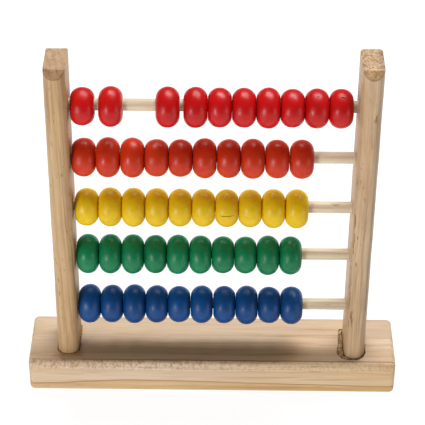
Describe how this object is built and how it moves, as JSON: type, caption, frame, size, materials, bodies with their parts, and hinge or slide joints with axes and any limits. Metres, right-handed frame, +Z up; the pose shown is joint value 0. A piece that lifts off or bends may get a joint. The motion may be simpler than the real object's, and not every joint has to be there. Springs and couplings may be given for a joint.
{
  "type": "abacus",
  "caption": "Small wooden toy abacus: a flat base, two upright posts and rods of sliding painted beads between them.",
  "frame": {"origin": "middle of the base board's underside, on the surface it stands on", "axes": "+X along the rods to the user's right, +Y away from the user, +Z up"},
  "size_m": [0.2, 0.04, 0.2027],
  "materials": {
    "base_wood": "sanded bare hardwood with a thin clear coat",
    "post_wood": "sanded bare hardwood with a thin clear coat",
    "rod_wood": "bare pale dowel",
    "red_paint": "turned wood under glossy red paint",
    "orange_paint": "turned wood under glossy orange paint",
    "yellow_paint": "turned wood under glossy yellow paint",
    "green_paint": "turned wood under glossy green paint",
    "blue_paint": "turned wood under glossy blue paint"
  },
  "bodies": {
    "frame": {"base_board": "base_wood", "left_post": "post_wood", "right_post": "post_wood", "red_rod": "rod_wood", "orange_rod": "rod_wood", "yellow_rod": "rod_wood", "green_rod": "rod_wood", "blue_rod": "rod_wood"},
    "red_bead_01": {"red_bead_01": "red_paint"},
    "red_bead_02": {"red_bead_02": "red_paint"},
    "red_bead_03": {"red_bead_03": "red_paint"},
    "red_bead_04": {"red_bead_04": "red_paint"},
    "red_bead_05": {"red_bead_05": "red_paint"},
    "red_bead_06": {"red_bead_06": "red_paint"},
    "red_bead_07": {"red_bead_07": "red_paint"},
    "red_bead_08": {"red_bead_08": "red_paint"},
    "red_bead_09": {"red_bead_09": "red_paint"},
    "red_bead_10": {"red_bead_10": "red_paint"},
    "orange_bead_01": {"orange_bead_01": "orange_paint"},
    "orange_bead_02": {"orange_bead_02": "orange_paint"},
    "orange_bead_03": {"orange_bead_03": "orange_paint"},
    "orange_bead_04": {"orange_bead_04": "orange_paint"},
    "orange_bead_05": {"orange_bead_05": "orange_paint"},
    "orange_bead_06": {"orange_bead_06": "orange_paint"},
    "orange_bead_07": {"orange_bead_07": "orange_paint"},
    "orange_bead_08": {"orange_bead_08": "orange_paint"},
    "orange_bead_09": {"orange_bead_09": "orange_paint"},
    "orange_bead_10": {"orange_bead_10": "orange_paint"},
    "yellow_bead_01": {"yellow_bead_01": "yellow_paint"},
    "yellow_bead_02": {"yellow_bead_02": "yellow_paint"},
    "yellow_bead_03": {"yellow_bead_03": "yellow_paint"},
    "yellow_bead_04": {"yellow_bead_04": "yellow_paint"},
    "yellow_bead_05": {"yellow_bead_05": "yellow_paint"},
    "yellow_bead_06": {"yellow_bead_06": "yellow_paint"},
    "yellow_bead_07": {"yellow_bead_07": "yellow_paint"},
    "yellow_bead_08": {"yellow_bead_08": "yellow_paint"},
    "yellow_bead_09": {"yellow_bead_09": "yellow_paint"},
    "yellow_bead_10": {"yellow_bead_10": "yellow_paint"},
    "green_bead_01": {"green_bead_01": "green_paint"},
    "green_bead_02": {"green_bead_02": "green_paint"},
    "green_bead_03": {"green_bead_03": "green_paint"},
    "green_bead_04": {"green_bead_04": "green_paint"},
    "green_bead_05": {"green_bead_05": "green_paint"},
    "green_bead_06": {"green_bead_06": "green_paint"},
    "green_bead_07": {"green_bead_07": "green_paint"},
    "green_bead_08": {"green_bead_08": "green_paint"},
    "green_bead_09": {"green_bead_09": "green_paint"},
    "green_bead_10": {"green_bead_10": "green_paint"},
    "blue_bead_01": {"blue_bead_01": "blue_paint"},
    "blue_bead_02": {"blue_bead_02": "blue_paint"},
    "blue_bead_03": {"blue_bead_03": "blue_paint"},
    "blue_bead_04": {"blue_bead_04": "blue_paint"},
    "blue_bead_05": {"blue_bead_05": "blue_paint"},
    "blue_bead_06": {"blue_bead_06": "blue_paint"},
    "blue_bead_07": {"blue_bead_07": "blue_paint"},
    "blue_bead_08": {"blue_bead_08": "blue_paint"},
    "blue_bead_09": {"blue_bead_09": "blue_paint"},
    "blue_bead_10": {"blue_bead_10": "blue_paint"}
  },
  "joints": [
    {"name": "red_bead_01_slide", "type": "slide", "parent": "frame", "child": "red_bead_01", "axis": [1, 0, 0], "range_m": [-0.0008, 0.001]},
    {"name": "red_bead_02_slide", "type": "slide", "parent": "frame", "child": "red_bead_02", "axis": [1, 0, 0], "range_m": [-0.001, 0.006]},
    {"name": "red_bead_10_slide", "type": "slide", "parent": "frame", "child": "red_bead_10", "axis": [1, 0, 0], "range_m": [-0.0026, 0.0024]},
    {"name": "red_bead_09_slide", "type": "slide", "parent": "red_bead_10", "child": "red_bead_09", "axis": [1, 0, 0], "range_m": [-0.001, 0]},
    {"name": "red_bead_08_slide", "type": "slide", "parent": "red_bead_09", "child": "red_bead_08", "axis": [1, 0, 0], "range_m": [-0.001, 0]},
    {"name": "red_bead_07_slide", "type": "slide", "parent": "red_bead_08", "child": "red_bead_07", "axis": [1, 0, 0], "range_m": [-0.001, 0]},
    {"name": "red_bead_06_slide", "type": "slide", "parent": "red_bead_07", "child": "red_bead_06", "axis": [1, 0, 0], "range_m": [-0.001, 0]},
    {"name": "red_bead_05_slide", "type": "slide", "parent": "red_bead_06", "child": "red_bead_05", "axis": [1, 0, 0], "range_m": [-0.001, 0]},
    {"name": "red_bead_04_slide", "type": "slide", "parent": "red_bead_05", "child": "red_bead_04", "axis": [1, 0, 0], "range_m": [-0.001, 0]},
    {"name": "red_bead_03_slide", "type": "slide", "parent": "red_bead_04", "child": "red_bead_03", "axis": [1, 0, 0], "range_m": [-0.0018, 0.0018]},
    {"name": "orange_bead_01_slide", "type": "slide", "parent": "frame", "child": "orange_bead_01", "axis": [1, 0, 0], "range_m": [-0.0003, 0.002]},
    {"name": "orange_bead_02_slide", "type": "slide", "parent": "orange_bead_01", "child": "orange_bead_02", "axis": [1, 0, 0], "range_m": [0, 0.002]},
    {"name": "orange_bead_03_slide", "type": "slide", "parent": "orange_bead_02", "child": "orange_bead_03", "axis": [1, 0, 0], "range_m": [0, 0.002]},
    {"name": "orange_bead_04_slide", "type": "slide", "parent": "orange_bead_03", "child": "orange_bead_04", "axis": [1, 0, 0], "range_m": [0, 0.002]},
    {"name": "orange_bead_05_slide", "type": "slide", "parent": "orange_bead_04", "child": "orange_bead_05", "axis": [1, 0, 0], "range_m": [0, 0.002]},
    {"name": "orange_bead_06_slide", "type": "slide", "parent": "orange_bead_05", "child": "orange_bead_06", "axis": [1, 0, 0], "range_m": [0, 0.002]},
    {"name": "orange_bead_07_slide", "type": "slide", "parent": "orange_bead_06", "child": "orange_bead_07", "axis": [1, 0, 0], "range_m": [0, 0.002]},
    {"name": "orange_bead_08_slide", "type": "slide", "parent": "orange_bead_07", "child": "orange_bead_08", "axis": [1, 0, 0], "range_m": [0, 0.002]},
    {"name": "orange_bead_09_slide", "type": "slide", "parent": "orange_bead_08", "child": "orange_bead_09", "axis": [1, 0, 0], "range_m": [0, 0.002]},
    {"name": "orange_bead_10_slide", "type": "slide", "parent": "orange_bead_09", "child": "orange_bead_10", "axis": [1, 0, 0], "range_m": [0, 0.0028]},
    {"name": "yellow_bead_01_slide", "type": "slide", "parent": "frame", "child": "yellow_bead_01", "axis": [1, 0, 0], "range_m": [-0.0009, 0.0022]},
    {"name": "yellow_bead_02_slide", "type": "slide", "parent": "yellow_bead_01", "child": "yellow_bead_02", "axis": [1, 0, 0], "range_m": [0, 0.0022]},
    {"name": "yellow_bead_03_slide", "type": "slide", "parent": "yellow_bead_02", "child": "yellow_bead_03", "axis": [1, 0, 0], "range_m": [0, 0.0022]},
    {"name": "yellow_bead_04_slide", "type": "slide", "parent": "yellow_bead_03", "child": "yellow_bead_04", "axis": [1, 0, 0], "range_m": [0, 0.0022]},
    {"name": "yellow_bead_05_slide", "type": "slide", "parent": "yellow_bead_04", "child": "yellow_bead_05", "axis": [1, 0, 0], "range_m": [0, 0.0022]},
    {"name": "yellow_bead_06_slide", "type": "slide", "parent": "yellow_bead_05", "child": "yellow_bead_06", "axis": [1, 0, 0], "range_m": [0, 0.0022]},
    {"name": "yellow_bead_07_slide", "type": "slide", "parent": "yellow_bead_06", "child": "yellow_bead_07", "axis": [1, 0, 0], "range_m": [0, 0.0022]},
    {"name": "yellow_bead_08_slide", "type": "slide", "parent": "yellow_bead_07", "child": "yellow_bead_08", "axis": [1, 0, 0], "range_m": [0, 0.0022]},
    {"name": "yellow_bead_09_slide", "type": "slide", "parent": "yellow_bead_08", "child": "yellow_bead_09", "axis": [1, 0, 0], "range_m": [0, 0.0022]},
    {"name": "yellow_bead_10_slide", "type": "slide", "parent": "yellow_bead_09", "child": "yellow_bead_10", "axis": [1, 0, 0], "range_m": [0, 0.0026]},
    {"name": "green_bead_01_slide", "type": "slide", "parent": "frame", "child": "green_bead_01", "axis": [1, 0, 0], "range_m": [-0.0005, 0.0024]},
    {"name": "green_bead_02_slide", "type": "slide", "parent": "green_bead_01", "child": "green_bead_02", "axis": [1, 0, 0], "range_m": [0, 0.0024]},
    {"name": "green_bead_03_slide", "type": "slide", "parent": "green_bead_02", "child": "green_bead_03", "axis": [1, 0, 0], "range_m": [0, 0.0024]},
    {"name": "green_bead_04_slide", "type": "slide", "parent": "green_bead_03", "child": "green_bead_04", "axis": [1, 0, 0], "range_m": [0, 0.0024]},
    {"name": "green_bead_05_slide", "type": "slide", "parent": "green_bead_04", "child": "green_bead_05", "axis": [1, 0, 0], "range_m": [0, 0.0024]},
    {"name": "green_bead_06_slide", "type": "slide", "parent": "green_bead_05", "child": "green_bead_06", "axis": [1, 0, 0], "range_m": [0, 0.0024]},
    {"name": "green_bead_07_slide", "type": "slide", "parent": "green_bead_06", "child": "green_bead_07", "axis": [1, 0, 0], "range_m": [0, 0.0024]},
    {"name": "green_bead_08_slide", "type": "slide", "parent": "green_bead_07", "child": "green_bead_08", "axis": [1, 0, 0], "range_m": [0, 0.0024]},
    {"name": "green_bead_09_slide", "type": "slide", "parent": "green_bead_08", "child": "green_bead_09", "axis": [1, 0, 0], "range_m": [0, 0.0024]},
    {"name": "green_bead_10_slide", "type": "slide", "parent": "green_bead_09", "child": "green_bead_10", "axis": [1, 0, 0], "range_m": [0, 0.0032]},
    {"name": "blue_bead_01_slide", "type": "slide", "parent": "frame", "child": "blue_bead_01", "axis": [1, 0, 0], "range_m": [-0.0003, 0.0022]},
    {"name": "blue_bead_02_slide", "type": "slide", "parent": "blue_bead_01", "child": "blue_bead_02", "axis": [1, 0, 0], "range_m": [0, 0.0022]},
    {"name": "blue_bead_03_slide", "type": "slide", "parent": "blue_bead_02", "child": "blue_bead_03", "axis": [1, 0, 0], "range_m": [0, 0.0022]},
    {"name": "blue_bead_04_slide", "type": "slide", "parent": "blue_bead_03", "child": "blue_bead_04", "axis": [1, 0, 0], "range_m": [0, 0.0022]},
    {"name": "blue_bead_05_slide", "type": "slide", "parent": "blue_bead_04", "child": "blue_bead_05", "axis": [1, 0, 0], "range_m": [0, 0.0022]},
    {"name": "blue_bead_06_slide", "type": "slide", "parent": "blue_bead_05", "child": "blue_bead_06", "axis": [1, 0, 0], "range_m": [0, 0.0022]},
    {"name": "blue_bead_07_slide", "type": "slide", "parent": "blue_bead_06", "child": "blue_bead_07", "axis": [1, 0, 0], "range_m": [0, 0.0022]},
    {"name": "blue_bead_08_slide", "type": "slide", "parent": "blue_bead_07", "child": "blue_bead_08", "axis": [1, 0, 0], "range_m": [0, 0.0022]},
    {"name": "blue_bead_09_slide", "type": "slide", "parent": "blue_bead_08", "child": "blue_bead_09", "axis": [1, 0, 0], "range_m": [0, 0.0022]},
    {"name": "blue_bead_10_slide", "type": "slide", "parent": "blue_bead_09", "child": "blue_bead_10", "axis": [1, 0, 0], "range_m": [0, 0.0033]}
  ]
}
